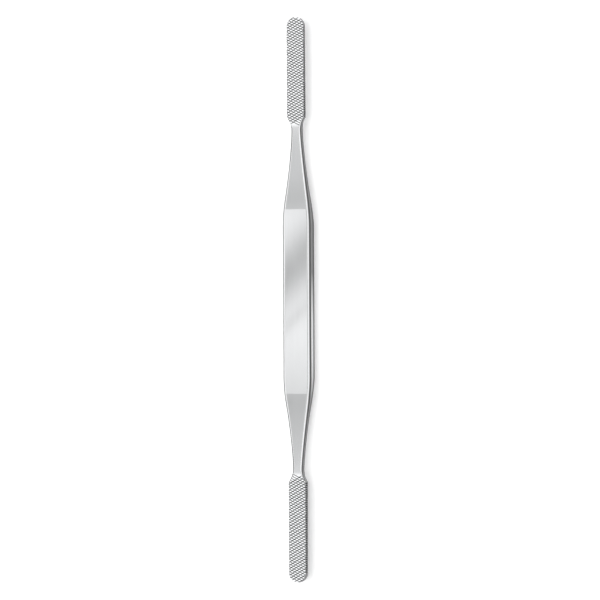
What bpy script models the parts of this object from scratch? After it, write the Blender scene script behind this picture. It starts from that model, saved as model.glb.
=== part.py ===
"""Nasal rasp, double ended, in one piece of stainless steel.

The rasp lies on the flat back of its handle, with the toothed faces up. Its length runs along Y and its
width along X, Z = 0 is the flat back, and the origin is under the middle of the whole length. A flat bar
handle with bevelled long edges falls into a slim neck at each end. Each neck carries a flat blade with a
full-round tip, whose front is cut crosswise into diamond teeth and whose narrow edges are notched. All sizes
are in metres and all angles in radians.
"""

import math
from typing import NamedTuple

import bmesh
import bpy
from mathutils import Vector

# Handle
HANDLE_WIDTH = 0.0110
HANDLE_THICKNESS = 0.0050
HANDLE_FLAT = 0.0685
BACK_SETBACK = 0.0056
HANDLE_CORNER = 0.0009
BEVEL_ACROSS = 0.00108
BEVEL_DOWN = 0.00030

# Necks, between the handle and the blades
UPPER_TAPER_LENGTH = 0.0341
LOWER_TAPER_LENGTH = 0.0328
TAPER_LEAD = 0.0014
TAPER_EASE = 1.37
NECK_WIDTH = 0.00375
NECK_FRONT_HOLLOW = 0.00047
NECK_BACK_RISE = 0.00165
NECK_BACK_EASE = 3
NECK_BEVEL_ACROSS = 0.00070
NECK_BEVEL_DOWN = 0.00030
SHOULDER_RADIUS = 0.0075

# Blades
BLADE_LENGTH = 0.0373
BLADE_WIDTH = 0.00715
BLADE_DROP = 0.00016
UPPER_ROOT_THICKNESS = 0.00185
UPPER_TIP_THICKNESS = 0.00140
LOWER_ROOT_THICKNESS = 0.00245
LOWER_TIP_THICKNESS = 0.00205
BLADE_FACE_RUN_ON = 0.0027
BACK_EDGE = 0.00025
TIP_FLAT = 0.0006

# Cross-cut teeth: two sets of V grooves, each with its slope to the width, pitch, width and depth
FIRST_CUT_SLOPE = math.radians(-25.2)
FIRST_CUT_PITCH = 0.000835
FIRST_CUT_WIDTH = 0.00038
FIRST_CUT_DEPTH = 0.00020
FIRST_CUT_RUN_ON = 0.0022
SECOND_CUT_SLOPE = math.radians(31.2)
SECOND_CUT_PITCH = 0.001036
SECOND_CUT_WIDTH = 0.00044
SECOND_CUT_DEPTH = 0.00024
SECOND_CUT_RUN_ON = 0.0013
TOOTH_RAKE = 0.36
TIP_RIM = 0.00035

# Notches across the narrow edges of the blades
NOTCH_PITCH = 0.00078
NOTCH_WIDTH = 0.00050
NOTCH_DEPTH = 0.00020

# Facets of the curved stretches
CORNER_STEPS = 6
TAPER_STEPS = 22
SHOULDER_STEPS = 9
TIP_STEPS = 9

MERGE_DISTANCE = 1e-7
FLAT_ANGLE = math.radians(0.02)
SHARP_ANGLE = math.radians(20)

STEEL_COLOUR = (0.70, 0.71, 0.72, 1.0)
STEEL_ROUGHNESS = 0.24


class Arm(NamedTuple):
    """One end of the rasp: the way it points along Y, and the sizes that the other end has otherwise."""

    toward: int
    taper_length: float
    root_thickness: float
    tip_thickness: float

    @property
    def root(self):
        """Distance from the handle's middle to the blade's root."""
        return HANDLE_FLAT / 2 + self.taper_length

    @property
    def neck(self):
        """Distance to the slimmest point of the neck, where the arc of the shoulder starts."""
        return self.root - shoulder_length()

    @property
    def face_start(self):
        """Distance to where the blade's flat face starts, on the shoulder."""
        return self.root - BLADE_FACE_RUN_ON

    @property
    def tip(self):
        """Distance to the blade's tip."""
        return self.root + BLADE_LENGTH

    @property
    def tip_centre(self):
        """Distance to the centre of the tip's round."""
        return self.tip - BLADE_WIDTH / 2


UPPER = Arm(1, UPPER_TAPER_LENGTH, UPPER_ROOT_THICKNESS, UPPER_TIP_THICKNESS)
LOWER = Arm(-1, LOWER_TAPER_LENGTH, LOWER_ROOT_THICKNESS, LOWER_TIP_THICKNESS)


def shoulder_length():
    """Length of the arc that leaves the neck along the rasp and meets the blade's edge."""
    rise = (BLADE_WIDTH - NECK_WIDTH) / 2
    return math.sqrt(max(2 * SHOULDER_RADIUS - rise, 0.0) * rise)


def middle():
    """Place of the handle's middle along Y, with the whole length centred on the origin."""
    return (LOWER.tip - UPPER.tip) / 2


def place(arm, x, reach, z):
    """A point of an arm in the rasp's frame. The lower arm is the upper one turned half round about Z."""
    return Vector((arm.toward * x, middle() + arm.toward * reach, z))


def between(start, end, value):
    """How far value is from start to end, held within 0 and 1."""
    return min(max((value - start) / (end - start), 0.0), 1.0)


def eased_out(share, ease):
    """A share that sets off at full slope and levels out, the sooner the greater ease is."""
    return 1 - (1 - share) ** ease


def eased(share):
    """A share that is level at both ends."""
    return share * share * (3 - 2 * share)


def mixed(start, end, share):
    return start + (end - start) * share


def rounded_least(first, second, radius):
    """The smaller of two values, with the corner where they cross rounded off over radius."""
    overlap = max(radius - abs(first - second), 0.0)
    return min(first, second) - overlap * overlap / (4 * radius)


def half_width(arm, reach):
    """Half the width: the handle, the taper into the neck, the shoulder's arc, the blade and its tip."""
    if reach <= arm.neck:
        left = (arm.neck - reach) / (arm.neck - (HANDLE_FLAT / 2 - TAPER_LEAD))
        taper = mixed(NECK_WIDTH, HANDLE_WIDTH, left**TAPER_EASE) / 2
        return rounded_least(HANDLE_WIDTH / 2, taper, HANDLE_CORNER)
    if reach < arm.root:
        along = reach - arm.neck
        return NECK_WIDTH / 2 + SHOULDER_RADIUS - math.sqrt(SHOULDER_RADIUS**2 - along**2)
    beyond = max(reach - arm.tip_centre, 0.0)
    radius = BLADE_WIDTH / 2
    return max(math.sqrt(max(radius**2 - beyond**2, 0.0)), TIP_FLAT / 2)


def blade_front():
    """Height of the plane of the blades' tooth lands."""
    return HANDLE_THICKNESS - BLADE_DROP


def front(arm, reach):
    """Height of the front: the handle's flat, a long shallow hollow over the neck, the blade's flat face."""
    share = between(HANDLE_FLAT / 2, arm.face_start, reach)
    hollow = 4 * NECK_FRONT_HOLLOW * share * (1 - share)
    return mixed(HANDLE_THICKNESS, blade_front(), share) - hollow


def back(arm, reach):
    """Height of the back: the handle's flat, the slope to the neck, the shoulder's step, the blade."""
    if reach <= arm.neck:
        along_slope = between(HANDLE_FLAT / 2 - BACK_SETBACK, arm.neck, reach)
        return NECK_BACK_RISE * eased_out(along_slope, NECK_BACK_EASE)
    if reach <= arm.root:
        under_root = blade_front() - arm.root_thickness
        return mixed(NECK_BACK_RISE, under_root, eased(between(arm.neck, arm.root, reach)))
    thickness = mixed(arm.root_thickness, arm.tip_thickness, between(arm.root, arm.tip, reach))
    return blade_front() - thickness


def front_bevel(arm, reach):
    """Width and depth of the front's bevels, which narrow along the taper and run out on the shoulder."""
    along_taper = between(HANDLE_FLAT / 2, arm.neck, reach)
    left_on_shoulder = 1 - between(arm.neck, arm.root, reach)
    across = mixed(BEVEL_ACROSS, NECK_BEVEL_ACROSS, along_taper) * left_on_shoulder
    down = mixed(BEVEL_DOWN, NECK_BEVEL_DOWN, along_taper) * left_on_shoulder
    return across, down


def back_bevel(arm, reach):
    """Width and depth of the back's bevels, which end as the softened back edges of the blade."""
    along_taper = between(HANDLE_FLAT / 2, arm.neck, reach)
    on_shoulder = between(arm.neck, arm.root, reach)
    across = mixed(mixed(BEVEL_ACROSS, NECK_BEVEL_ACROSS, along_taper), BACK_EDGE, on_shoulder)
    down = mixed(mixed(BEVEL_DOWN, NECK_BEVEL_DOWN, along_taper), BACK_EDGE, on_shoulder)
    return min(across, half_width(arm, reach) / 2), down


def section(arm, reach):
    """The eight corners of the cross-section at this reach, in order round it."""
    side = half_width(arm, reach)
    top = front(arm, reach)
    bottom = back(arm, reach)
    top_across, top_down = front_bevel(arm, reach)
    bottom_across, bottom_down = back_bevel(arm, reach)
    right = (
        (side - bottom_across, bottom),
        (side, bottom + bottom_down),
        (side, top - top_down),
        (side - top_across, top),
    )
    left = [(-x, z) for x, z in reversed(right)]
    return [(x, z) for x, z in (*right, *left)]


def reaches(arm):
    """Distances from the handle's middle at which the arm has a cross-section, the last at its tip."""
    back_start = HANDLE_FLAT / 2 - BACK_SETBACK
    corner = [mixed(back_start, HANDLE_FLAT / 2, step / CORNER_STEPS) for step in range(CORNER_STEPS)]
    taper = [mixed(HANDLE_FLAT / 2, arm.neck, step / TAPER_STEPS) for step in range(TAPER_STEPS)]
    curved = [mixed(arm.neck, arm.root, step / SHOULDER_STEPS) for step in range(SHOULDER_STEPS)]
    shoulder = sorted({*curved, arm.face_start})
    quarter = [math.pi / 2 * step / TIP_STEPS for step in range(TIP_STEPS)]
    tip = [arm.tip_centre + BLADE_WIDTH / 2 * math.sin(turn) for turn in quarter]
    return [*corner, *taper, *shoulder, arm.root, *tip, arm.tip]


def new_object(name, mesh_maker, collection):
    """An object in its collection, with the mesh that mesh_maker builds, normals out and flat faces whole."""
    bm = bmesh.new()
    mesh_maker(bm)
    bmesh.ops.remove_doubles(bm, verts=bm.verts, dist=MERGE_DISTANCE)
    bmesh.ops.dissolve_limit(bm, angle_limit=FLAT_ANGLE, verts=bm.verts, edges=bm.edges)
    bmesh.ops.recalc_face_normals(bm, faces=bm.faces)
    mesh = bpy.data.meshes.new(name)
    bm.to_mesh(mesh)
    bm.free()
    made = bpy.data.objects.new(name, mesh)
    collection.objects.link(made)
    return made


def loft_body(bm):
    """The rasp before its teeth are cut: cross-sections from tip to tip, with faces between each two."""
    rings = []
    for reach in reversed(reaches(LOWER)):
        rings.append([bm.verts.new(place(LOWER, -x, reach, z)) for x, z in section(LOWER, reach)])
    for reach in reaches(UPPER):
        rings.append([bm.verts.new(place(UPPER, x, reach, z)) for x, z in section(UPPER, reach)])
    for ring, following in zip(rings, rings[1:]):
        for corner in range(len(ring)):
            beside = (corner + 1) % len(ring)
            bm.faces.new((ring[corner], ring[beside], following[beside], following[corner]))
    bm.faces.new(reversed(rings[0]))
    bm.faces.new(rings[-1])


def mouth(width, depth, pitch):
    """How far a V cutter stands over the surface, and how much wider it is there, clear of the next one."""
    grown = (width + pitch) / 2 / width
    return depth * (grown - 1), grown


def add_bar(bm, outline, run):
    """A straight bar: a face with this outline, extruded along run."""
    face = bm.faces.new([bm.verts.new(corner) for corner in outline])
    grown = bmesh.ops.extrude_face_region(bm, geom=[face])["geom"]
    moved = [item for item in grown if isinstance(item, bmesh.types.BMVert)]
    bmesh.ops.translate(bm, verts=moved, vec=run)


def add_cut(bm, arm, slope, pitch, width, depth, run_on):
    """A set of parallel V grooves over one blade, from the shoulder to the rim of the tip.

    A groove's floor lies nearer its root side, so that each tooth has a steep and a low flank.
    """
    spacing = pitch / math.cos(slope)
    first = arm.root - run_on
    last = arm.tip_centre + (BLADE_WIDTH / 2 - TIP_RIM) / math.cos(slope)
    above, grown = mouth(width, depth, pitch)
    profile = (
        (-TOOTH_RAKE * width * grown, blade_front() + above),
        (0.0, blade_front() - depth),
        ((1 - TOOTH_RAKE) * width * grown, blade_front() + above),
    )
    half_run = (BLADE_WIDTH / 2 + pitch) / math.cos(slope)
    along = Vector((math.cos(slope), math.sin(slope)))
    across = Vector((-math.sin(slope), math.cos(slope)))
    for groove in range(math.floor((last - first) / spacing) + 1):
        centre = Vector((0.0, first + groove * spacing))
        start = centre - along * half_run
        end = centre + along * half_run
        corners = [(start + across * offset, z) for offset, z in profile]
        outline = [place(arm, corner.x, corner.y, z) for corner, z in corners]
        run = place(arm, end.x, end.y, 0.0) - place(arm, start.x, start.y, 0.0)
        add_bar(bm, outline, run)


def add_first_cut(bm):
    sizes = FIRST_CUT_SLOPE, FIRST_CUT_PITCH, FIRST_CUT_WIDTH, FIRST_CUT_DEPTH, FIRST_CUT_RUN_ON
    for arm in (UPPER, LOWER):
        add_cut(bm, arm, *sizes)


def add_second_cut(bm):
    sizes = SECOND_CUT_SLOPE, SECOND_CUT_PITCH, SECOND_CUT_WIDTH, SECOND_CUT_DEPTH, SECOND_CUT_RUN_ON
    for arm in (UPPER, LOWER):
        add_cut(bm, arm, *sizes)


def add_notches(bm):
    """V notches across both narrow edges of both blades, evenly spaced from the root to the tip's round."""
    for arm in (UPPER, LOWER):
        bottom = blade_front() - arm.root_thickness - NOTCH_DEPTH
        run = Vector((0.0, 0.0, blade_front() + NOTCH_DEPTH - bottom))
        length = arm.tip_centre - arm.root
        count = math.floor(length / NOTCH_PITCH)
        pitch = length / count
        outside, grown = mouth(NOTCH_WIDTH, NOTCH_DEPTH, pitch)
        for side in (-1, 1):
            floor = side * (BLADE_WIDTH / 2 - NOTCH_DEPTH)
            opening = side * (BLADE_WIDTH / 2 + outside)
            for notch in range(count):
                reach = arm.root + (notch + 0.5) * pitch
                outline = [
                    place(arm, floor, reach, bottom),
                    place(arm, opening, reach - NOTCH_WIDTH / 2 * grown, bottom),
                    place(arm, opening, reach + NOTCH_WIDTH / 2 * grown, bottom),
                ]
                add_bar(bm, outline, run)


def steel():
    """Satin stainless steel."""
    material = bpy.data.materials.new("stainless_steel")
    material.use_nodes = True
    surface = material.node_tree.nodes["Principled BSDF"]
    surface.inputs["Base Color"].default_value = STEEL_COLOUR
    surface.inputs["Metallic"].default_value = 1.0
    surface.inputs["Roughness"].default_value = STEEL_ROUGHNESS
    return material


def new_collection(name):
    collection = bpy.data.collections.new(name)
    bpy.context.scene.collection.children.link(collection)
    return collection


def build():
    for item in list(bpy.data.objects):
        bpy.data.objects.remove(item)
    body = new_object("nasal_rasp", loft_body, new_collection("nasal_rasp_parts"))
    body.data.materials.append(steel())
    body.data.shade_smooth()
    body.data.set_sharp_from_angle(angle=SHARP_ANGLE)
    cutters = new_collection("cutters")
    cuts = {"first_cut": add_first_cut, "second_cut": add_second_cut, "edge_notches": add_notches}
    for name, mesh_maker in cuts.items():
        cutter = new_object(name, mesh_maker, cutters)
        cutter.hide_render = True
        cutter.display_type = "WIRE"
        cutting = body.modifiers.new(name, "BOOLEAN")
        cutting.operation = "DIFFERENCE"
        cutting.solver = "EXACT"
        cutting.object = cutter


build()
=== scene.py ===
"""Double-ended nasal rasp of stainless steel, lying on its back under a soft studio light.

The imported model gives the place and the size. The steel is built again over it as one fine closed surface,
with softened handle edges, the exact lattice of the cross-cut teeth and the edge notches. Lengths are in
metres, angles in radians, and the rasp's length runs along Y with the toothed faces up.
"""

import logging
import math
from dataclasses import dataclass, field
from enum import Enum
from typing import Any

import bpy
import numpy as np
from mathutils import Matrix, Vector


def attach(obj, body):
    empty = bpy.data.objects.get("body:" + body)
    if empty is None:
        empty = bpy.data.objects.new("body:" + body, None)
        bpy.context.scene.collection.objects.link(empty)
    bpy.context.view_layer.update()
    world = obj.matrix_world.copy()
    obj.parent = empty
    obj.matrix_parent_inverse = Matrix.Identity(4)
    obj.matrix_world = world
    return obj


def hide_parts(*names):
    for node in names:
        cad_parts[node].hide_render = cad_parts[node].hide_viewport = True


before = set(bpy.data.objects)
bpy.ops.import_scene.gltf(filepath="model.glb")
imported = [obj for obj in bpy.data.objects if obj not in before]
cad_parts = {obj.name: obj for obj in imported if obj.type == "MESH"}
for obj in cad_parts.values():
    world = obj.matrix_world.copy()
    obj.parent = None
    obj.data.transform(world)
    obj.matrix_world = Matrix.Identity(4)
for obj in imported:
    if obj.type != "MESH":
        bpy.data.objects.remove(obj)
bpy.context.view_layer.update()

LOG = logging.getLogger("nasal_rasp")

# A length or depth under this counts as none.
NOTHING = 1e-9
# A noise swings evenly about this value.
NOISE_MIDDLE = 0.5
# The parts of a ring that look up: the flat front, the right bevel and the left one.
FRONT_PARTS = (0, 1, 7)


class Ray(Enum):
    """Kinds of ray that a finish can tell apart."""

    CAMERA = "Is Camera Ray"
    GLOSSY = "Is Glossy Ray"
    TRANSMISSION = "Is Transmission Ray"


def between(start: float, end: float, value: np.ndarray) -> np.ndarray:
    """How far value is from start to end, held within 0 and 1."""
    return np.clip((value - start) / (end - start), 0.0, 1.0)


def eased(share: np.ndarray) -> np.ndarray:
    """A share that is level at both ends: 3 s squared less 2 s cubed."""
    return share * share * (3 - 2 * share)


def eased_out(share: np.ndarray, ease: int) -> np.ndarray:
    """A share that sets off at full slope and levels out: 1 less what is left to the power ease."""
    return 1 - (1 - share) ** ease


def rounded_least(first: float, second: np.ndarray, radius: float) -> np.ndarray:
    """The smaller of two values, with the corner where they cross rounded off.

    Args:
        first: The first value.
        second: The second values.
        radius: How near the two are to each other where the rounding starts.

    Returns:
        The smaller value, less a quarter of the squared overlap over the radius.
    """
    overlap = np.maximum(radius - np.abs(first - second), 0.0)
    return np.minimum(first, second) - overlap * overlap / (4 * radius)


def bend(start: np.ndarray, corner: np.ndarray, end: np.ndarray, count: int) -> np.ndarray:
    """A quadratic bend for every section at once: (1-u)(1-u) a + 2 u (1-u) b + u u c.

    Args:
        start: Where each bend starts, a.
        corner: The corner that it rounds off, b.
        end: Where it ends, c.
        count: How many points it has.

    Returns:
        The points as sections by points by two.
    """
    share = np.linspace(0.0, 1.0, count)[None, :, None]
    a, b, c = start[:, None], corner[:, None], end[:, None]
    return (1 - share) ** 2 * a + 2 * share * (1 - share) * b + share**2 * c


@dataclass(frozen=True)
class Blank:
    """Sizes of the steel bar before its teeth are cut, the same for both arms."""

    # The handle, a hair slimmer at its middle. Its back starts to rise a setback before its front ends.
    handle_width: float = 0.0110
    middle_width: float = 0.01098
    handle_thickness: float = 0.0050
    handle_flat: float = 0.0685
    back_setback: float = 0.0056
    handle_corner: float = 0.0009
    bevel_across: float = 0.00108
    bevel_down: float = 0.00030
    # The taper, which starts a lead before the handle's front ends, and the neck.
    taper_lead: float = 0.0014
    taper_ease: float = 1.37
    neck_width: float = 0.00375
    neck_front_hollow: float = 0.00047
    neck_back_rise: float = 0.00165
    neck_back_ease: int = 3
    neck_bevel_across: float = 0.00070
    neck_bevel_down: float = 0.00030
    # The shoulder and the blade. Its face lies a little under the handle's and runs on to the shoulder.
    shoulder_radius: float = 0.0075
    blade_length: float = 0.0373
    blade_width: float = 0.00715
    blade_drop: float = 0.00016
    blade_face_run_on: float = 0.0027
    back_edge: float = 0.00025
    front_edge: float = 0.00030

    @property
    def shoulder_length(self) -> float:
        """Length of the arc that leaves the neck along the rasp and meets the blade's edge."""
        rise = (self.blade_width - self.neck_width) / 2
        return math.sqrt((2 * self.shoulder_radius - rise) * rise)

    @property
    def blade_front(self) -> float:
        """Height of the plane of the tooth lands."""
        return self.handle_thickness - self.blade_drop


@dataclass(frozen=True)
class Notches:
    """V notches across both narrow edges of a blade."""

    pitch: float = 0.00078
    width: float = 0.00050
    depth: float = 0.00020


@dataclass(frozen=True)
class Arm:
    """One end of the rasp, in its own reach from the handle's middle and its own x."""

    toward: int
    taper_length: float
    root_thickness: float
    tip_thickness: float
    blank: Blank = field(default_factory=Blank)
    notches: Notches = field(default_factory=Notches)

    @property
    def slope_start(self) -> float:
        """Reach at which the back starts to rise."""
        return self.blank.handle_flat / 2 - self.blank.back_setback

    @property
    def root(self) -> float:
        """Reach of the blade's root."""
        return self.blank.handle_flat / 2 + self.taper_length

    @property
    def neck(self) -> float:
        """Reach of the slimmest point of the neck."""
        return self.root - self.blank.shoulder_length

    @property
    def face_start(self) -> float:
        """Reach at which the blade's flat face starts, on the shoulder."""
        return self.root - self.blank.blade_face_run_on

    @property
    def tip(self) -> float:
        """Reach of the tip."""
        return self.root + self.blank.blade_length

    @property
    def tip_centre(self) -> float:
        """Reach of the centre of the tip's round."""
        return self.tip - self.blank.blade_width / 2

    def notch_floors(self) -> np.ndarray:
        """Reaches of the floors of the edge notches, evenly spaced from the root to the tip's round."""
        count = math.floor((self.tip_centre - self.root) / self.notches.pitch)
        pitch = (self.tip_centre - self.root) / count
        return self.root + (np.arange(count) + 0.5) * pitch

    def notch(self, reach: np.ndarray) -> np.ndarray:
        """Depth of the edge notches: full at a floor, falling in a straight line to nothing at its mouth."""
        floors = self.notch_floors()
        nearest = np.clip(np.searchsorted(floors, reach), 1, len(floors) - 1)
        away = np.minimum(np.abs(reach - floors[nearest - 1]), np.abs(reach - floors[nearest]))
        return self.notches.depth * np.clip(1 - away / (self.notches.width / 2), 0.0, 1.0)

    def half_width(self, reach: np.ndarray) -> np.ndarray:
        """Half the width: the handle, the taper that eases into the neck, the shoulder's arc, the blade.

        Args:
            reach: Distances from the handle's middle.

        Returns:
            A straight line from the middle, where both arms meet, to where the back starts to rise, then the
            smaller of the handle's half width and the taper's, the shoulder's circle, and the blade's
            straight edge with its notches. The tip's round isn't in it.
        """
        blank = self.blank
        start = blank.handle_flat / 2 - blank.taper_lead
        bent = np.maximum(reach, self.slope_start)
        left = np.maximum((self.neck - bent) / (self.neck - start), 0.0)
        taper = (blank.neck_width + (blank.handle_width - blank.neck_width) * left**blank.taper_ease) / 2
        bar = rounded_least(blank.handle_width / 2, taper, blank.handle_corner)
        middle = blank.middle_width / 2
        bar = middle + (bar - middle) * between(0.0, self.slope_start, reach)
        along = np.clip(reach - self.neck, 0.0, blank.shoulder_length)
        radius = blank.shoulder_radius
        shoulder = blank.neck_width / 2 + radius - np.sqrt(radius**2 - along**2)
        blade = blank.blade_width / 2 - self.notch(reach)
        return np.select([reach <= self.neck, reach < self.root], [bar, shoulder], blade)

    def front(self, reach: np.ndarray) -> np.ndarray:
        """Height of the front: the handle's flat, a shallow hollow over the neck, the blade's flat face."""
        blank = self.blank
        share = between(blank.handle_flat / 2, self.face_start, reach)
        hollow = 4 * blank.neck_front_hollow * share * (1 - share)
        return blank.handle_thickness - blank.blade_drop * share - hollow

    def back(self, reach: np.ndarray) -> np.ndarray:
        """Height of the back: the handle's flat, the slope to the neck, the step to the blade's back."""
        blank = self.blank
        risen = between(self.slope_start, self.neck, reach)
        slope = blank.neck_back_rise * eased_out(risen, blank.neck_back_ease)
        step = eased(between(self.neck, self.root, reach))
        thinned = (self.tip_thickness - self.root_thickness) * between(self.root, self.tip, reach)
        blade = blank.blade_front - self.root_thickness - thinned
        return np.where(reach <= self.neck, slope, slope + (blade - slope) * step)

    def bevel(self, reach: np.ndarray, edge: float) -> tuple[np.ndarray, np.ndarray]:
        """Width and depth of a bevel: the handle's, going over to the neck's and then to the blade's edge.

        Args:
            reach: Distances from the handle's middle.
            edge: How much the blade's edge is softened, across and down.

        Returns:
            The bevel's width and depth.
        """
        blank = self.blank
        along = between(blank.handle_flat / 2, self.neck, reach)
        on = between(self.neck, self.root, reach)
        across = blank.bevel_across + (blank.neck_bevel_across - blank.bevel_across) * along
        down = blank.bevel_down + (blank.neck_bevel_down - blank.bevel_down) * along
        return across + (edge - across) * on, down + (edge - down) * on


@dataclass(frozen=True)
class Cut:
    """Parallel V grooves over a blade. A groove's place is where its line crosses the middle, x = 0."""

    slope: float
    pitch: float
    width: float
    depth: float
    run_on: float
    # How strong the painted shade in its grooves is, against the share of their depth.
    groove_shade: float
    rake: float = 0.36
    rim: float = 0.00035

    @property
    def steep(self) -> float:
        """Width of the steep flank, on the root's side of the floor."""
        return self.rake * self.width

    @property
    def low(self) -> float:
        """Width of the low flank, on the tip's side of the floor."""
        return (1 - self.rake) * self.width

    def floors(self, arm: Arm) -> np.ndarray:
        """Places of the groove floors, evenly spaced from behind the root to the rim of the tip."""
        spacing = self.pitch / math.cos(self.slope)
        first = arm.root - self.run_on
        last = arm.tip_centre + (arm.blank.blade_width / 2 - self.rim) / math.cos(self.slope)
        return first + spacing * np.arange(math.floor((last - first) / spacing) + 1)

    def lines(self, arm: Arm, levels: tuple[float, ...]) -> np.ndarray:
        """Places of the lines that run along the grooves at the given shares of their depth.

        Args:
            arm: The arm whose blade is cut.
            levels: Shares of the depth, from 0 at the mouth to 1 at the floor.

        Returns:
            The places in order. A level's line lies its unused share of the flank away from the floor.
        """
        below = [-self.steep * (1 - level) for level in levels]
        above = [self.low * (1 - level) for level in levels]
        across = np.unique(np.array(below + above)) / math.cos(self.slope)
        return np.sort((self.floors(arm)[:, None] + across[None, :]).ravel())

    def depth_at(self, arm: Arm, place: np.ndarray) -> np.ndarray:
        """Depth of the cut: full at the floor, and falling in a straight line to nothing up each flank."""
        floors = self.floors(arm)
        mouths = floors - self.steep / math.cos(self.slope)
        groove = np.clip(np.searchsorted(mouths, place, side="right") - 1, 0, len(floors) - 1)
        offset = (place - floors[groove]) * math.cos(self.slope)
        return self.depth * np.clip(1 - np.maximum(-offset / self.steep, offset / self.low), 0.0, 1.0)


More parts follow.
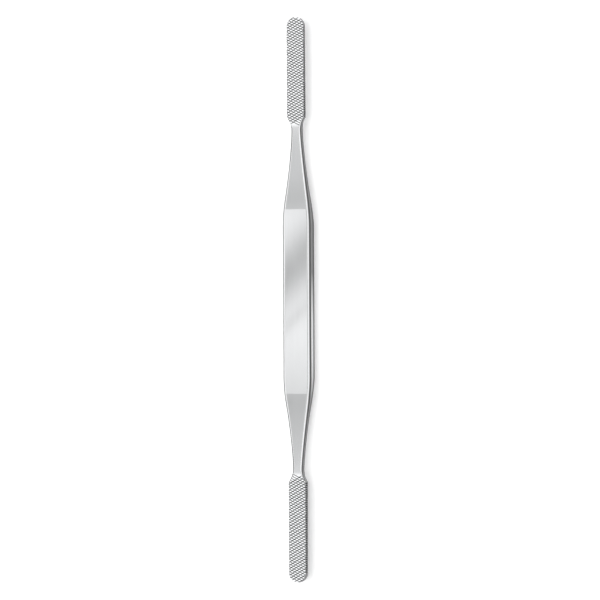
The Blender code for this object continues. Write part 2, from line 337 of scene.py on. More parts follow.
@dataclass
class SteelBody:
    """The whole rasp as one closed skin, built from slanted sections that follow the first cut's grooves."""

    arms: tuple[Arm, Arm]
    first_cut: Cut
    second_cut: Cut
    # How far a bevel's bends reach from its corners: at most, and as a share of its slope.
    face_round: float = 0.00016
    front_side_round: float = 0.00072
    back_side_round: float = 0.00034
    face_share: float = 0.30
    side_share: float = 0.62
    # How far the points that keep the flats flat lie beside a bend: at most, and as a share of the slope.
    held: float = 0.00006
    held_share: float = 0.02
    # How far in a bevel may reach at the tip, as a share of the half width.
    inset_share: float = 0.65
    # Up to which share of the front's outer bend a slope counts as narrow, and how much of the side's satin
    # and painted shade it then has.
    narrow_share: float = 0.55
    narrow_satin_shade: float = 0.55
    # Where on a wide bevel's outer bend the side's satin and painted shade start and are full, and how fast
    # they come on a narrow one's.
    satin_shade_from: float = 0.08
    satin_shade_full: float = 0.56
    satin_shade_ease: int = 4
    # Where down a side its painted highlight lies, and its half width, as shares of the side.
    middle_at: float = 0.38
    middle_half: float = 0.42
    # Over which lengths the sections turn to the first cut's slope and the lands take their polish and
    # painted highlight.
    slant_run: float = 0.0055
    land_run: float = 0.0012
    # How much brighter the painted highlight is between the notches, and how dark the notches' painted shade
    # is.
    notch_gap_highlight: float = 0.90
    notch_shade: float = 1.5
    # How many points each stretch takes.
    bend_points: int = 5
    flank_rows: int = 3
    slope_rows: int = 9
    taper_rows: int = 64
    shoulder_rows: int = 26
    tip_rows: int = 30
    back_columns: int = 7
    # Spacing of the front's columns before the teeth, and the gap that they leave before the first line.
    plain_columns: float = 0.0012
    plain_gap: float = 0.0004
    # How near points and places count as one, and how often a section's end is put right.
    merge: float = 2e-7
    place_digits: int = 6
    tip_gap: float = 2e-6
    edge_rounds: int = 40
    sharp_from: float = math.radians(14)

    def slant(self, arm: Arm, place: np.ndarray) -> np.ndarray:
        """Slope of each place's section: none on the handle, easing to the first cut's before the teeth."""
        toward = eased(between(arm.face_start - self.slant_run, arm.face_start, place))
        return math.tan(self.first_cut.slope) * toward

    def tip_places(self, arm: Arm) -> np.ndarray:
        """Places of the sections round the tip, even round its circle up to the one that only touches it."""
        slope = self.first_cut.slope
        turn = np.linspace(-abs(slope), math.pi / 2, self.tip_rows)
        return arm.tip_centre + arm.blank.blade_width / 2 / math.cos(slope) * np.sin(turn)

    def notch_places(self, arm: Arm) -> np.ndarray:
        """Places of the sections through the floors and mouths of both edges' notches."""
        floors = arm.notch_floors()
        half = arm.notches.width / 2
        reach = np.concatenate([floors - half, floors, floors + half])
        lean = arm.half_width(reach) * math.tan(self.first_cut.slope)
        return np.concatenate([reach - lean, reach + lean])

    def places(self, arm: Arm) -> np.ndarray:
        """Places of all sections of an arm, where each crosses the middle line, from the handle's middle out.

        Args:
            arm: The arm.

        Returns:
            The places of plain sections, groove lines, notches and tip, in order and without near doubles.
        """
        start = arm.slope_start
        handle_end = arm.blank.handle_flat / 2
        crease = handle_end + np.array([-2, -1, 1, 2]) * self.held
        plain = [
            np.array([0.0, start - self.held, start, start + self.held]),
            np.linspace(start, handle_end, self.slope_rows),
            crease,
            np.linspace(handle_end, arm.neck, self.taper_rows),
            np.linspace(arm.neck, arm.root, self.shoulder_rows),
        ]
        cut = [self.first_cut.lines(arm, (0.0, 1.0)), self.notch_places(arm)]
        tip = self.tip_places(arm)
        every = np.concatenate([*plain, *cut, tip])
        every = every[every <= tip[-1]]
        rounded = np.unique(np.round(every, self.place_digits))
        return np.append(rounded[rounded < tip[-1] - self.tip_gap], tip[-1])

    def edges(self, arm: Arm, place: np.ndarray) -> tuple[np.ndarray, np.ndarray]:
        """The two ends of each section, where its line meets the outline of the rasp.

        The line is reach = place + slant times x. On the straight stretches x is found by putting the half
        width at the line's own reach back into it, and at the tip it is the chord of a circle.

        Args:
            arm: The arm.
            place: Places of the sections.

        Returns:
            The x of the left and of the right end.
        """
        slant = self.slant(arm, place)
        radius = arm.blank.blade_width / 2
        ahead = place - arm.tip_centre
        chord = np.sqrt(np.maximum(radius**2 * (1 + slant**2) - ahead**2, 0.0)) / (1 + slant**2)
        middle = -ahead * slant / (1 + slant**2)
        ends = []
        for side in (-1.0, 1.0):
            x = side * arm.half_width(place)
            for _ in range(self.edge_rounds):
                x = side * arm.half_width(place + x * slant)
            in_round = ahead + side * radius * slant > 0
            ends.append(np.where(in_round, middle + side * chord, x))
        return ends[0], ends[1]

    def bevel_path(
        self, across: np.ndarray, down: np.ndarray, side_round: float
    ) -> tuple[np.ndarray, np.ndarray]:
        """The softened path from a face over its bevel to the side, for every section at once.

        Both corners of the bevel are bends, and a held point before and after each keeps the flats flat.

        Args:
            across: Width of the bevel.
            down: Depth of the bevel.
            side_round: How far from the bevel's outer corner its bend starts, at most.

        Returns:
            Inset from the edge and depth under the face, each a row a section.
        """
        length = np.hypot(across, down)
        safe = np.maximum(length, NOTHING)
        run = np.stack([-across / safe, down / safe], axis=-1)
        outer = np.stack([np.zeros_like(across), down], axis=-1)
        inner = np.stack([across, np.zeros_like(down)], axis=-1)
        first = np.minimum(self.face_round, self.face_share * length)[:, None]
        second = np.minimum(side_round, self.side_share * length)[:, None]
        held = np.minimum(self.held, self.held_share * length)[:, None]
        level = np.array([1.0, 0.0])
        plumb = np.array([0.0, 1.0])
        path = np.concatenate(
            [
                (inner + (first + held) * level)[:, None],
                bend(inner + first * level, inner, inner + first * run, self.bend_points),
                (inner + (first + held) * run)[:, None],
                (outer - (second + held) * run)[:, None],
                bend(outer - second * run, outer, outer + second * plumb, self.bend_points),
                (outer + (second + held) * plumb)[:, None],
            ],
            axis=1,
        )
        return path[..., 0], path[..., 1]

    def bevel_shares(self, length: np.ndarray) -> tuple[np.ndarray, np.ndarray]:
        """How much bevel and how much side the finish sees at each point of the path over a bevel.

        The polish and painted highlight grow over the slope up to the outer bend and end with it. A wide
        bevel's outer bend turns to the side's satin and painted shade late. A narrow one's, like the blade's
        softened edge, turns early, and some of that satin and painted shade is on its slope too.

        Args:
            length: How long the bevel's slope is in each section.

        Returns:
            Share of bevel and share of side, each a row a section.
        """
        onward = np.linspace(0.0, 1.0, self.bend_points)
        on_bevel = np.concatenate([np.zeros(self.bend_points + 2), [1.0], 1 - onward, [0.0]])
        shown = np.minimum(length / self.front_side_round, 1.0)[:, None]
        wide = eased(between(self.narrow_share, 1.0, shown))
        late = eased(between(self.satin_shade_from, self.satin_shade_full, onward))
        early = eased_out(onward, self.satin_shade_ease)
        on_bend = early + (late - early) * wide
        # Satin and painted shade on a narrow bevel's slope.
        narrow = np.concatenate([[0.0], onward, [1.0, 1.0]]) * (1 - wide) * self.narrow_satin_shade
        on_side = np.concatenate([narrow, np.maximum(on_bend, narrow[:, -1:]), np.ones_like(shown)], axis=1)
        return on_bevel * shown, on_side

    def fall(self, arm: Arm, place: np.ndarray) -> np.ndarray:
        """How much the slope of the second cut's lines differs from the section's at each place."""
        return math.tan(self.second_cut.slope) - self.slant(arm, place)

    def cut_depth(self, arm: Arm, place: np.ndarray, x: np.ndarray) -> tuple[np.ndarray, np.ndarray]:
        """Works out how deep the two cuts go under the plane of the lands, at points of the slanted sections.

        Args:
            arm: The arm.
            place: Places of the points' sections.
            x: The points' own x.

        Returns:
            Depth of the deeper cut, and the larger of each cut's painted shade times the share of its own
            full depth.
        """
        first = self.first_cut.depth_at(arm, place) + np.zeros_like(x)
        second = self.second_cut.depth_at(arm, place - x * self.fall(arm, place))
        # Each cut's painted shade, from how deep the point lies in it.
        first_shade = first * (self.first_cut.groove_shade / self.first_cut.depth)
        second_shade = second * (self.second_cut.groove_shade / self.second_cut.depth)
        return np.maximum(first, second), np.maximum(first_shade, second_shade)

    def columns(self, arm: Arm, place: np.ndarray, low: np.ndarray, high: np.ndarray) -> np.ndarray:
        """x of the front's inner points: where each section crosses the lines of the second cut.

        A line of the second cut is met at x = (place - its place) / (its slope - the section's slant). What
        falls outside the section is held at its nearer end, where such points fall together.

        Args:
            arm: The arm.
            place: Places of the sections.
            low: Least x of the flat front.
            high: Greatest x of the flat front.

        Returns:
            One row of x a section, from left to right.
        """
        shared = self.first_cut.depth / self.second_cut.depth
        cut = self.second_cut.lines(arm, (0.0, shared, 1.0))
        start = arm.face_start - 2 * self.slant_run
        before = np.arange(start, cut[0] - self.plain_gap, self.plain_columns)
        lines = np.concatenate([before, cut])[::-1]
        crossing = (place[:, None] - lines[None, :]) / self.fall(arm, place)[:, None]
        inner = np.clip(crossing, low[:, None], high[:, None])
        return np.concatenate([low[:, None], inner, high[:, None]], axis=1)

    def wrapped_edges(self, arm: Arm, place: np.ndarray) -> dict[tuple[float, bool], np.ndarray]:
        """The softened bevels of both sides of an arm, front and back.

        Args:
            arm: The arm.
            place: Places of the sections.

        Returns:
            By side and whether it is the front's: x, z, share of bevel, share of side and share of the side's
            painted highlight, which is none here, stacked as the last axis.
        """
        slant = self.slant(arm, place)
        left, right = self.edges(arm, place)
        most = self.inset_share * (right - left)[:, None] / 2
        made = {}
        for side, end in ((1.0, right), (-1.0, left)):
            reach = place + end * slant
            for is_front in (True, False):
                across, down = arm.bevel(reach, arm.blank.front_edge if is_front else arm.blank.back_edge)
                side_round = self.front_side_round if is_front else self.back_side_round
                inset, off = self.bevel_path(across, down, side_round)
                bevel, on_side = self.bevel_shares(np.hypot(across, down))
                x = end[:, None] - side * np.minimum(inset, most)
                along = place[:, None] + x * slant[:, None]
                z = arm.front(along) - off if is_front else arm.back(along) + off
                made[side, is_front] = np.stack([x, z, bevel, on_side, np.zeros_like(x)], axis=-1)
        return made

    def flank(self, top: np.ndarray, under: np.ndarray) -> np.ndarray:
        """Points down a side. The share of its painted highlight is 1 - q q, q being how far off in half
        widths.
        """
        share = np.linspace(0.0, 1.0, self.flank_rows + 2)[None, 1:-1, None]
        points = top[:, None] + (under - top)[:, None] * share
        off = (share - self.middle_at) / self.middle_half
        points[..., 4] = np.clip(1 - off * off, 0.0, 1.0)[..., 0]
        return points

    def ring_parts(self, arm: Arm, place: np.ndarray) -> tuple[np.ndarray, ...]:
        """The parts of every section's ring in order: the front, the right side, the back, the left side.

        Args:
            arm: The arm.
            place: Places of the sections.

        Returns:
            Eight parts, each as sections by points by five: x, z, share of bevel, of side and of its painted
            highlight.
        """
        slant = self.slant(arm, place)[:, None]
        edges = self.wrapped_edges(arm, place)
        front_x = self.columns(arm, place, edges[-1.0, True][:, 0, 0], edges[1.0, True][:, 0, 0])
        from_x, to_x = edges[1.0, False][:, :1, 0], edges[-1.0, False][:, :1, 0]
        back_x = from_x + (to_x - from_x) * np.linspace(0.0, 1.0, self.back_columns + 2)[1:-1]
        flats = []
        for x, height in ((front_x, arm.front), (back_x, arm.back)):
            none = np.zeros_like(x)
            flats.append(np.stack([x, height(place[:, None] + x * slant), none, none, none], axis=-1))
        right = self.flank(edges[1.0, True][:, -1], edges[1.0, False][:, -1])
        left = self.flank(edges[-1.0, True][:, -1], edges[-1.0, False][:, -1])
        return (
            flats[0],
            edges[1.0, True],
            right,
            edges[1.0, False][:, ::-1],
            flats[1],
            edges[-1.0, False],
            left[:, ::-1],
            edges[-1.0, True][:, ::-1],
        )

    def arm_rings(self, arm: Arm) -> tuple[np.ndarray, dict[str, np.ndarray]]:
        """All sections of an arm as closed rings, with both cuts taken out of the front and its bevels.

        Args:
            arm: The arm.

        Returns:
            The points as sections by ring by three, in the arm's own x, reach and z, and the values that the
            finish reads: painted shade of the grooves, from their depth, and of the notches, share of bevel,
                of
            side, of the side's painted highlight and of toothed face.
        """
        place = self.places(arm)
        parts = self.ring_parts(arm, place)
        x, z, bevel, side, middle = np.moveaxis(np.concatenate(parts, axis=1), -1, 0)
        reach = place[:, None] + x * self.slant(arm, place)[:, None]
        faces_up = np.concatenate([np.full(part.shape[1], n in FRONT_PARTS) for n, part in enumerate(parts)])
        depth, share = self.cut_depth(arm, place[:, None], x)
        floor = arm.blank.blade_front - depth
        cut = faces_up & (depth > NOTHING) & (floor < z)
        seen = np.clip((z - floor) / np.maximum(depth, NOTHING), 0.0, 1.0)
        # Painted shade in the edge notches; the sides' painted highlight grows towards the blade.
        notch = self.notch_shade * arm.notch(reach) / arm.notches.depth * side
        values = {
            "groove": np.clip(np.maximum(np.where(cut, share * seen, 0.0), notch), 0.0, 1.0),
            "bevel": bevel,
            "side": side,
            "side_highlight": middle * (1 + self.notch_gap_highlight * eased(between(arm.neck, arm.root, reach))),
            "teeth": faces_up * eased(between(arm.face_start - self.land_run, arm.face_start, reach)),
        }
        return np.stack([x, reach, np.where(cut, floor, z)], axis=-1), values

    def ring_faces(self, points: np.ndarray) -> np.ndarray:
        """Triangles between each two rings, with each four-sided patch split along its lower diagonal.

        The lower diagonal is the one whose middle is the lower, which is where two groove flanks meet.

        Args:
            points: Points as sections by ring by three.

        Returns:
            Corner numbers of the triangles, three a row, turned outwards.
        """
        sections, ring = points.shape[:2]
        number = np.arange(sections * ring).reshape(sections, ring)
        a, d = number[:-1], number[1:]
        b, c = np.roll(a, -1, axis=1), np.roll(d, -1, axis=1)
        z = points[..., 2].ravel()
        level = (z[a] + z[c] <= z[b] + z[d]).ravel()
        a, b, c, d = (part.ravel() for part in (a, b, c, d))
        along = np.stack([a, b, c, a, c, d], axis=1)
        other = np.stack([a, b, d, b, c, d], axis=1)
        return np.where(level[:, None], along, other).reshape(-1, 3)

    def skin(self) -> tuple[np.ndarray, np.ndarray, dict[str, np.ndarray]]:
        """Both arms as one closed skin in the rasp's own frame.

        Returns:
            Points, triangles, and the values that the finish reads at each point.
        """
        lower, upper = self.arms
        middle = (lower.tip - upper.tip) / 2
        points, faces, values = [], [], []
        count = 0
        for arm in self.arms:
            rings, read = self.arm_rings(arm)
            faces.append(self.ring_faces(rings) + count)
            placed = rings.reshape(-1, 3) * np.array([arm.toward, arm.toward, 1.0])
            points.append(placed + np.array([0.0, middle, 0.0]))
            values.append(read)
            count += len(placed)
        joined = {name: np.concatenate([read[name].ravel() for read in values]) for name in values[0]}
        return merged(np.concatenate(points), np.concatenate(faces), joined, self.merge)

    def build(self) -> bpy.types.Object:
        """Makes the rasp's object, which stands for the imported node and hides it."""
        points, faces, values = self.skin()
        rasp = new_object("rasp_steel", points, faces, values)
        rasp.data.shade_smooth()
        rasp.data.set_sharp_from_angle(angle=self.sharp_from)
        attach(rasp, "root")
        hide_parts("nasal_rasp")
        return rasp


def merged(
    points: np.ndarray, faces: np.ndarray, values: dict[str, np.ndarray], distance: float
) -> tuple[np.ndarray, np.ndarray, dict[str, np.ndarray]]:
    """Joins points that fall together and drops the triangles that have no area left.

    Args:
        points: Points, three numbers a row.
        faces: Corner numbers, three a row.
        values: Named values, one a point.
        distance: Size of the grid on which points count as one.

    Returns:
        The points, faces and values that are left.
    """
    keys = np.round(points / distance).astype(np.int64)
    _, first, joined = np.unique(keys, axis=0, return_index=True, return_inverse=True)
    faces = joined.ravel()[faces]
    a, b, c = faces.T
    faces = faces[(a != b) & (b != c) & (c != a)]
    return points[first], faces, {name: value[first] for name, value in values.items()}


def new_object(
    name: str, points: np.ndarray, faces: np.ndarray, values: dict[str, np.ndarray]
) -> bpy.types.Object:
    """An object at the origin with this mesh.

    Args:
        name: Name of the object and its mesh.
        points: Points, three numbers a row.
        faces: Corner numbers, as many a row as each face has corners.
        values: Named values, one a point, kept as attributes.

    Returns:
        The object, linked to the scene.
    """
    mesh = bpy.data.meshes.new(name)
    corners = faces.shape[1]
    mesh.vertices.add(len(points))
    mesh.vertices.foreach_set("co", points.astype(np.float32).ravel())
    mesh.loops.add(faces.size)
    mesh.loops.foreach_set("vertex_index", faces.astype(np.int32).ravel())
    mesh.polygons.add(len(faces))
    mesh.polygons.foreach_set("loop_start", np.arange(0, faces.size, corners, dtype=np.int32))
    mesh.update(calc_edges=True)
    for key, value in values.items():
        mesh.attributes.new(key, "FLOAT", "POINT").data.foreach_set("value", value.astype(np.float32))
    made = bpy.data.objects.new(name, mesh)
    bpy.context.scene.collection.objects.link(made)
    return made


def sheet_grid(across: np.ndarray, along: np.ndarray) -> tuple[np.ndarray, np.ndarray]:
    """A flat grid of points at height 0 and its four-cornered faces, which look up.

    Args:
        across: The x of the columns.
        along: The y of the rows.

    Returns:
        Points and faces.
    """
    x, y = np.meshgrid(across, along)
    points = np.stack([x.ravel(), y.ravel(), np.zeros(x.size)], axis=1)
    number = np.arange(x.size).reshape(x.shape)
    a, b, c, d = number[:-1, :-1], number[:-1, 1:], number[1:, 1:], number[1:, :-1]
    return points, np.stack([a.ravel(), b.ravel(), c.ravel(), d.ravel()], axis=1)


class Signal:
    """An output socket that takes part in arithmetic. Each operator adds the Math node that works it out."""

    def __init__(self, sheet: "NodeSheet", socket: bpy.types.NodeSocket) -> None:
        """Keeps the socket and the nodes that it belongs to."""
        self.sheet = sheet
        self.socket = socket

    def __add__(self, other: "Signal | float") -> "Signal":
        """Sum."""
        return self.sheet.math("ADD", self, other)

    def __radd__(self, other: float) -> "Signal":
        """Sum, with the number first."""
        return self.sheet.math("ADD", other, self)

    def __sub__(self, other: "Signal | float") -> "Signal":
        """Difference."""
        return self.sheet.math("SUBTRACT", self, other)

    def __rsub__(self, other: float) -> "Signal":
        """Difference, with the number first."""
        return self.sheet.math("SUBTRACT", other, self)

    def __mul__(self, other: "Signal | float") -> "Signal":
        """Product."""
        return self.sheet.math("MULTIPLY", self, other)

    def __rmul__(self, other: float) -> "Signal":
        """Product, with the number first."""
        return self.sheet.math("MULTIPLY", other, self)

    def held(self) -> "Signal":
        """The same value, held within 0 and 1."""
        return Signal(self.sheet, self.sheet.node("ShaderNodeClamp", {}, {"Value": self}).outputs[0])


class NodeSheet:
    """The nodes of one material or of the world, added one at a time."""

    def __init__(self, tree: bpy.types.NodeTree) -> None:
        """Starts from an empty tree."""
        tree.nodes.clear()
        self.tree = tree

    def node(self, kind: str, settings: dict[str, Any], inputs: dict[Any, Any]) -> bpy.types.Node:
        """Adds one node.

        Args:
            kind: The node's type.
            settings: Its settings, such as a Math node's operation, set before anything is linked.
            inputs: Values or signals of its sockets, by name or number.

        Returns:
            The node.
        """
        made = self.tree.nodes.new(kind)
        for name, value in settings.items():
            setattr(made, name, value)
        for name, value in inputs.items():
            if isinstance(value, Signal):
                self.tree.links.new(value.socket, made.inputs[name])
            else:
                made.inputs[name].default_value = value
        return made

    def signal(self, kind: str, settings: dict[str, Any], inputs: dict[Any, Any], output: Any = 0) -> Signal:
        """Adds one node and returns the signal of one of its outputs, by name or number."""
        return Signal(self, self.node(kind, settings, inputs).outputs[output])

    def math(self, operation: str, first: "Signal | float", second: "Signal | float") -> Signal:
        """Adds a Math node."""
        return self.signal("ShaderNodeMath", {"operation": operation}, {0: first, 1: second})

    def stretched(self, place: Signal, factors: tuple[float, float, float]) -> Signal:
        """Adds a Vector Math node that multiplies a place by one factor an axis."""
        return self.signal("ShaderNodeVectorMath", {"operation": "MULTIPLY"}, {0: place, 1: factors})

    def mix(self, share: Signal, first: Any, second: Any) -> Signal:
        """Adds a Mix node for colours."""
        return self.signal("ShaderNodeMix", {"data_type": "RGBA"}, {0: share, 6: first, 7: second}, 2)

    def noise(self, where: Signal, detail: float, roughness: float) -> Signal:
        """Adds a Noise Texture node of scale 1 and returns its value."""
        inputs = {"Vector": where, "Scale": 1.0, "Detail": detail, "Roughness": roughness}
        return self.signal("ShaderNodeTexNoise", {}, inputs)

    def attribute(self, name: str) -> Signal:
        """Adds an Attribute node for one of the piece's own values."""
        return self.signal("ShaderNodeAttribute", {"attribute_name": name}, {}, "Fac")

    def finish(self, shader: bpy.types.Node, target: str = "ShaderNodeOutputMaterial") -> None:
        """Links a shader to the output."""
        output = self.node(target, {}, {})
        self.tree.links.new(shader.outputs[0], output.inputs["Surface"])


def grey(level: float, warmth: float = 0.0) -> tuple[float, float, float, float]:
    """A nearly neutral colour, a little warmer or cooler."""
    return (level * (1 + warmth), level, level * (1 - warmth), 1.0)


@dataclass(frozen=True)
class GroundSteel:
    """Stainless steel: ground faces, polished bevels and lands with a painted highlight, satin sides with
    painted shade and a painted highlight down their middle, painted shade in the groove floors and notches.
    """

    # How bright each kind of surface is. The ground faces vary between the first two.
    face: float = 0.79
    shade: float = 0.72
    # Partly a real polish and partly a painted highlight, on the bevels and the tooth lands.
    polished_and_highlit: float = 0.97
    # The sides' dark colour is painted shade, and the next colour a painted highlight down their middle.
    side: float = 0.07
    side_highlight: float = 0.95
    # Painted shade in the groove floors and the edge notches.
    groove: float = 0.015
    coolness: float = -0.010
    # How rough each kind is, and how far the clouds and the grain change it.
    roughness: float = 0.13
    polished_roughness: float = 0.12
    side_roughness: float = 0.34
    groove_roughness: float = 0.62
    cloud_roughness: float = 0.06
    grain_roughness: float = 0.05
    # Where along Y the painted highlight lies down the middle of the sides, how bright the rest stays, and
    # how streaky it is.
    side_highlight_middle: float = -0.014
    side_highlight_half: float = 0.024
    side_highlight_least: float = 0.24
    side_highlight_streaks: float = 0.5
    # The share of a groove's depth where its painted shade starts, the span it takes, and how fast it
    # roughens.
    shade_from: float = 0.49
    shade_over: float = 0.15
    roughen_rate: float = 3.0
    # The brushing: how closely each noise is packed along X, Y and Z, a metre.
    grain_packing: tuple[float, float, float] = (9000.0, 260.0, 9000.0)
    hair_packing: tuple[float, float, float] = (30000.0, 700.0, 30000.0)
    streak_packing: tuple[float, float, float] = (1500.0, 24.0, 1500.0)
    cloud_packing: tuple[float, float, float] = (170.0, 90.0, 170.0)
    # How much of each goes into the tone of the ground faces and into the bump.
    cloud_tone: float = 0.6
    grain_tone: float = 0.4
    streak_tone: float = 0.4
    tone_less: float = 0.2
    grain_height: float = 0.6
    hair_height: float = 0.4
    bump_strength: float = 0.10
    bump_distance: float = 0.00002

    def side_shade_and_highlight(self, sheet: NodeSheet, place: Signal, streak: Signal) -> Signal:
        """Colour of the sides: dark as painted shade, and brighter down their middle as a painted highlight.

        Args:
            sheet: The material's nodes.
            place: Object coordinates.
            streak: The long streaks of the brushing.

        Returns:
            The colour. The painted highlight along the rasp is 1 - q q, q being how far off in half lengths.
        """
        along = sheet.signal("ShaderNodeSeparateXYZ", {}, {0: place}, "Y")
        # Painted highlight down the sides, brightest at one place along the rasp.
        off = (along - self.side_highlight_middle) * (1 / self.side_highlight_half)
        highlight_along = (1 - off * off + (streak - NOISE_MIDDLE) * self.side_highlight_streaks).held()
        highlight_share = (self.side_highlight_least + highlight_along * (1 - self.side_highlight_least)) * sheet.attribute("side_highlight")
        return sheet.mix(highlight_share, grey(self.side, self.coolness), grey(self.side_highlight, self.coolness))

    def material(self) -> bpy.types.Material:
        """Builds the material. The brushing is noise on the piece's own place, drawn out along Y."""
        made = bpy.data.materials.new("ground_steel")
        made.use_nodes = True
        sheet = NodeSheet(made.node_tree)
        place = sheet.signal("ShaderNodeTexCoord", {}, {}, "Object")
        grain = sheet.noise(sheet.stretched(place, self.grain_packing), 3.0, 0.6)
        hair = sheet.noise(sheet.stretched(place, self.hair_packing), 2.0, 0.5)
        streak = sheet.noise(sheet.stretched(place, self.streak_packing), 2.0, 0.5)
        cloud = sheet.noise(sheet.stretched(place, self.cloud_packing), 2.0, 0.5)
        groove = sheet.attribute("groove")
        side = sheet.attribute("side")
        # The bevels and lands: partly real polish, partly painted highlight.
        polish_and_highlight = sheet.math("MAXIMUM", sheet.attribute("bevel"), sheet.attribute("teeth"))
        tone = cloud * self.cloud_tone + grain * self.grain_tone + streak * self.streak_tone
        tone = (tone - self.tone_less).held()
        face = sheet.mix(tone, grey(self.shade, self.coolness), grey(self.face, self.coolness))
        bright = sheet.mix(polish_and_highlight, face, grey(self.polished_and_highlit, self.coolness))
        # The sides: painted shade with a painted highlight down their middle.
        with_side = sheet.mix(side, bright, self.side_shade_and_highlight(sheet, place, streak))
        # Painted shade in the groove floors and notches.
        shaded = ((groove - self.shade_from) * (1 / self.shade_over)).held()
        colour = sheet.mix(shaded, with_side, grey(self.groove, self.coolness))
        rough = self.roughness + polish_and_highlight * (self.polished_roughness - self.roughness)
        rough = rough + side * (self.side_roughness - self.roughness)
        rough = rough + (cloud - NOISE_MIDDLE) * self.cloud_roughness
        rough = rough + (grain - NOISE_MIDDLE) * self.grain_roughness
        rough = rough + (groove * self.roughen_rate).held() * (self.groove_roughness - self.roughness)
        height = grain * self.grain_height + hair * self.hair_height
        inputs = {"Strength": self.bump_strength, "Distance": self.bump_distance, "Height": height}
        bump = sheet.signal("ShaderNodeBump", {}, inputs)
        inputs = {"Base Color": colour, "Metallic": 1.0, "Roughness": rough.held(), "Normal": bump}
        sheet.finish(sheet.node("ShaderNodeBsdfPrincipled", {}, inputs))
        return made


@dataclass(frozen=True)
class PaleFloor:
    """Plain matt white floor that looks white and still takes the rasp's shadow."""

    level: float = 0.95
    lift: float = 0.14

    def material(self) -> bpy.types.Material:
        """Builds the material. What looks at it or mirrors it sees it lifted to white."""
        made = bpy.data.materials.new("pale_floor")
        made.use_nodes = True
        sheet = NodeSheet(made.node_tree)
        rays = sheet.node("ShaderNodeLightPath", {}, {})
        camera, glossy, through = (Signal(sheet, rays.outputs[ray.value]) for ray in Ray)
        glow = sheet.mix((camera + glossy + through).held(), grey(0.0), grey(self.lift))
        inputs = {
            "Base Color": grey(self.level),
            "Roughness": 0.9,
            "Specular IOR Level": 0.0,
            "Emission Color": glow,
            "Emission Strength": 1.0,
        }
        sheet.finish(sheet.node("ShaderNodeBsdfPrincipled", {}, inputs))
        return made


@dataclass(frozen=True)
class CardGlow:
    """The even glow of a reflection card, dimmed by the value that its points carry."""

    level: float

    def material(self) -> bpy.types.Material:
        """Builds the material."""
        made = bpy.data.materials.new("card_glow")
        made.use_nodes = True
        sheet = NodeSheet(made.node_tree)
        glow = sheet.mix(sheet.attribute("glow"), grey(0.0), grey(1.0))
        inputs = {
            "Base Color": grey(0.0),
            "Roughness": 1.0,
            "Specular IOR Level": 0.0,
            "Emission Color": glow,
            "Emission Strength": self.level,
        }
        sheet.finish(sheet.node("ShaderNodeBsdfPrincipled", {}, inputs))
        return made


@dataclass(frozen=True)
class Band:
    """A soft darker band across a card: where it crosses the middle, its half width, how much it takes."""

    middle: float
    half: float
    drop: float
    slope: float = 0.0


@dataclass(frozen=True)
class BandedCard:
    """A long glowing card that only the steel's reflections see, with soft darker bands across it if any."""

    name: str
    bearing: float
    level: float
    distance: float
    half_width: float
    half_length: float
    bands: tuple[Band, ...] = ()
    columns: int = 24
    rows: int = 400

    def glow(self, across: np.ndarray, along: np.ndarray) -> np.ndarray:
        """Share of the full glow: a band takes its drop times exp(-q q), q being off in half widths."""
        left = np.ones_like(across)
        for band in self.bands:
            off = (along - band.middle - band.slope * across) / band.half
            left = left * (1 - band.drop * np.exp(-off * off))
        return left

    def build(self) -> bpy.types.Object:
        """Makes the card at its bearing from straight up towards +X, facing the rasp and along Y."""
        across = np.linspace(-self.half_width, self.half_width, self.columns + 1)
        along = np.linspace(-self.half_length, self.half_length, self.rows + 1)
        points, faces = sheet_grid(across, along)
        glow = self.glow(points[:, 0], points[:, 1])
        turn = np.array(Matrix.Rotation(self.bearing, 3, "Y"))
        placed = (points + np.array([0.0, 0.0, self.distance])) @ turn.T
        card = new_object(self.name, placed, faces[:, ::-1], {"glow": glow})
        card.data.materials.append(CardGlow(self.level).material())
        card.visible_camera = False
        card.visible_diffuse = False
        card.visible_transmission = False
        card.visible_shadow = False
        return card


@dataclass(frozen=True)
class SoftPanel:
    """A large soft lamp panel that faces the rasp and isn't mirrored in it."""

    name: str
    bearing: float
    radiance: float
    distance: float
    width: float
    length: float

    def build(self) -> bpy.types.Object:
        """Makes the lamp at its bearing from straight up towards +X, with its length along Y."""
        lamp = bpy.data.lights.new(self.name, "AREA")
        lamp.shape = "RECTANGLE"
        lamp.size = self.width
        lamp.size_y = self.length
        lamp.energy = self.radiance * math.pi * self.width * self.length
        made = bpy.data.objects.new(self.name, lamp)
        made.visible_glossy = False
        bpy.context.scene.collection.objects.link(made)
        turn = Matrix.Rotation(self.bearing, 4, "Y")
        made.matrix_world = turn @ Matrix.Translation((0.0, 0.0, self.distance))
        return made


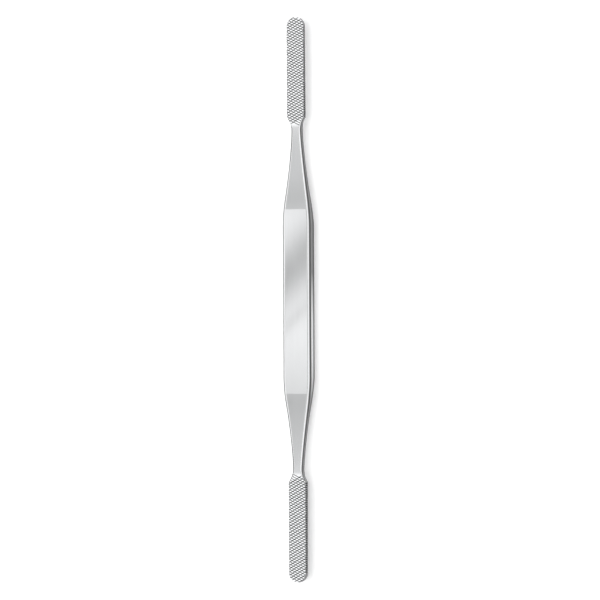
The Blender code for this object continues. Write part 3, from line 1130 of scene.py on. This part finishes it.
@dataclass
class Studio:
    """The floor, the lamps, the cards and the soft surroundings, which are brightest on the upper left."""

    bearing: float = math.radians(-22)
    radiance: float = 1.15
    fill_bearing: float = math.radians(48)
    fill_radiance: float = 0.30
    floor_half: float = 3.0
    floor_gap: float = 0.00002
    # The surroundings are even within the first angle from the bearing and beyond the second.
    bright: float = 1.14
    dark: float = 0.54
    full_within: float = math.radians(32)
    dark_beyond: float = math.radians(66)
    card_distance: float = 0.060
    card_half_length: float = 0.130
    # Seen from the camera, the dark flag shows in the rounded left edges of the rasp.
    flag_bearing: float = math.radians(-82)
    flag_level: float = 0.10
    flag_half: float = 0.0243
    # From there the grey strip shows in the right bevels. It hangs a little nearer than the others.
    grey_bearing: float = math.radians(6)
    grey_level: float = 0.66
    grey_half: float = 0.0085
    grey_nearer: float = 0.001
    # From there the bright strip shows in the rounded edges between the right bevels and the side.
    strip_bearing: float = math.radians(32)
    strip_level: float = 1.14
    strip_half: float = 0.0205
    # From there the banded card shows in the flat front: a slanting band, a finer one, and level ones.
    banded_half: float = 0.016
    banded_half_length: float = 0.110
    bands: tuple[Band, ...] = (
        Band(0.0120, 0.0120, 0.47, 0.95),
        Band(-0.0085, 0.0020, 0.24, 1.0),
        Band(-0.0360, 0.0150, 0.16),
        Band(0.0435, 0.0055, 0.38),
        Band(0.0545, 0.0095, 0.34),
        Band(-0.0445, 0.0055, 0.32),
        Band(-0.0545, 0.0095, 0.34),
    )

    def build_floor(self) -> bpy.types.Object:
        """Makes the floor, a hair under the rasp's back."""
        ends = np.array([-self.floor_half, self.floor_half])
        points, faces = sheet_grid(ends, ends)
        floor = new_object("floor", points - np.array([0.0, 0.0, self.floor_gap]), faces, {})
        floor.data.materials.append(PaleFloor().material())
        return floor

    def build_world(self) -> None:
        """Makes the surroundings: bright round the bearing, falling off smoothly with the angle from it."""
        world = bpy.data.worlds.new("studio")
        world.use_nodes = True
        bpy.context.scene.world = world
        sheet = NodeSheet(world.node_tree)
        direction = sheet.signal("ShaderNodeTexCoord", {}, {}, "Generated")
        axis = (math.sin(self.bearing), 0.0, math.cos(self.bearing))
        settings = {"operation": "DOT_PRODUCT"}
        near = sheet.signal("ShaderNodeVectorMath", settings, {0: direction, 1: axis}, "Value")
        limits = {"From Min": math.cos(self.dark_beyond), "From Max": math.cos(self.full_within)}
        levels = {"To Min": self.dark, "To Max": self.bright}
        settings = {"interpolation_type": "SMOOTHSTEP"}
        glow = sheet.signal("ShaderNodeMapRange", settings, {"Value": near, **limits, **levels})
        background = sheet.node("ShaderNodeBackground", {}, {"Color": grey(1.0), "Strength": glow})
        sheet.finish(background, "ShaderNodeOutputWorld")

    def build_panels(self) -> None:
        """Makes the large panel on the upper left, and a weaker one that fills its shadow from the right."""
        panels = (
            SoftPanel("soft_panel", self.bearing, self.radiance, distance=1.3, width=1.3, length=1.9),
            SoftPanel(
                "floor_fill", self.fill_bearing, self.fill_radiance, distance=1.5, width=1.2, length=2.4
            ),
        )
        for panel in panels:
            panel.build()

    def build_cards(self) -> list[bpy.types.Object]:
        """Makes the cards that the steel mirrors."""
        away, reach = self.card_distance, self.card_half_length
        nearer = away - self.grey_nearer
        half, length, bands = self.banded_half, self.banded_half_length, self.bands
        cards = (
            BandedCard("banded_card", self.bearing, self.radiance, away, half, length, bands),
            BandedCard("dark_flag", self.flag_bearing, self.flag_level, away, self.flag_half, reach),
            BandedCard("grey_strip", self.grey_bearing, self.grey_level, nearer, self.grey_half, reach),
            BandedCard("bright_strip", self.strip_bearing, self.strip_level, away, self.strip_half, reach),
        )
        return [card.build() for card in cards]

    def build(self) -> list[bpy.types.Object]:
        """Makes the whole studio and returns its floor and cards."""
        floor = self.build_floor()
        self.build_world()
        self.build_panels()
        return [floor, *self.build_cards()]


@dataclass
class Camera:
    """The photograph's camera: above the rasp, turned about its length so that the right side shows."""

    turn: float = math.radians(22)
    lean: float = 0.0047
    distance: float = 1.5
    seen_width: float = 0.2232
    aim: tuple[float, float, float] = (0.0, -0.00009, 0.00108)
    sensor: float = 36.0

    def build(self) -> bpy.types.Object:
        """Makes the camera and gives it to the scene."""
        back = Vector((math.sin(self.turn), 0.0, math.cos(self.turn)))
        right = Vector((math.cos(self.turn), 0.0, -math.sin(self.turn)))
        level = Vector((0.0, 1.0, 0.0))
        up = level * math.cos(self.lean) + right * math.sin(self.lean)
        side = right * math.cos(self.lean) - level * math.sin(self.lean)
        data = bpy.data.cameras.new("camera")
        data.sensor_width = self.sensor
        data.lens = self.sensor * self.distance / self.seen_width
        camera = bpy.data.objects.new("camera", data)
        bpy.context.scene.collection.objects.link(camera)
        turned = Matrix((side, up, back)).transposed().to_4x4()
        camera.matrix_world = Matrix.Translation(Vector(self.aim) + back * self.distance) @ turned
        bpy.context.scene.camera = camera
        return camera


def report(piece: bpy.types.Object) -> None:
    """Logs a piece's name and how fine its mesh is."""
    LOG.info("%s: %d points, %d faces", piece.name, len(piece.data.vertices), len(piece.data.polygons))


def main() -> None:
    """Builds the camera, the rasp and the studio in order, and reports each piece."""
    logging.basicConfig(level=logging.INFO, format="%(message)s")
    bpy.context.scene.view_settings.view_transform = "Standard"
    Camera().build()
    lower = Arm(toward=-1, taper_length=0.0328, root_thickness=0.00245, tip_thickness=0.00205)
    upper = Arm(toward=1, taper_length=0.0341, root_thickness=0.00185, tip_thickness=0.00140)
    first_cut = Cut(
        slope=math.radians(-25.2), pitch=0.000835, width=0.00038, depth=0.00020, run_on=0.0022, groove_shade=1.10
    )
    second_cut = Cut(
        slope=math.radians(31.2), pitch=0.001036, width=0.00044, depth=0.00024, run_on=0.0013, groove_shade=0.94
    )
    rasp = SteelBody((lower, upper), first_cut, second_cut).build()
    rasp.data.materials.append(GroundSteel().material())
    for piece in (rasp, *Studio().build()):
        report(piece)


if __name__ == "__main__":
    main()
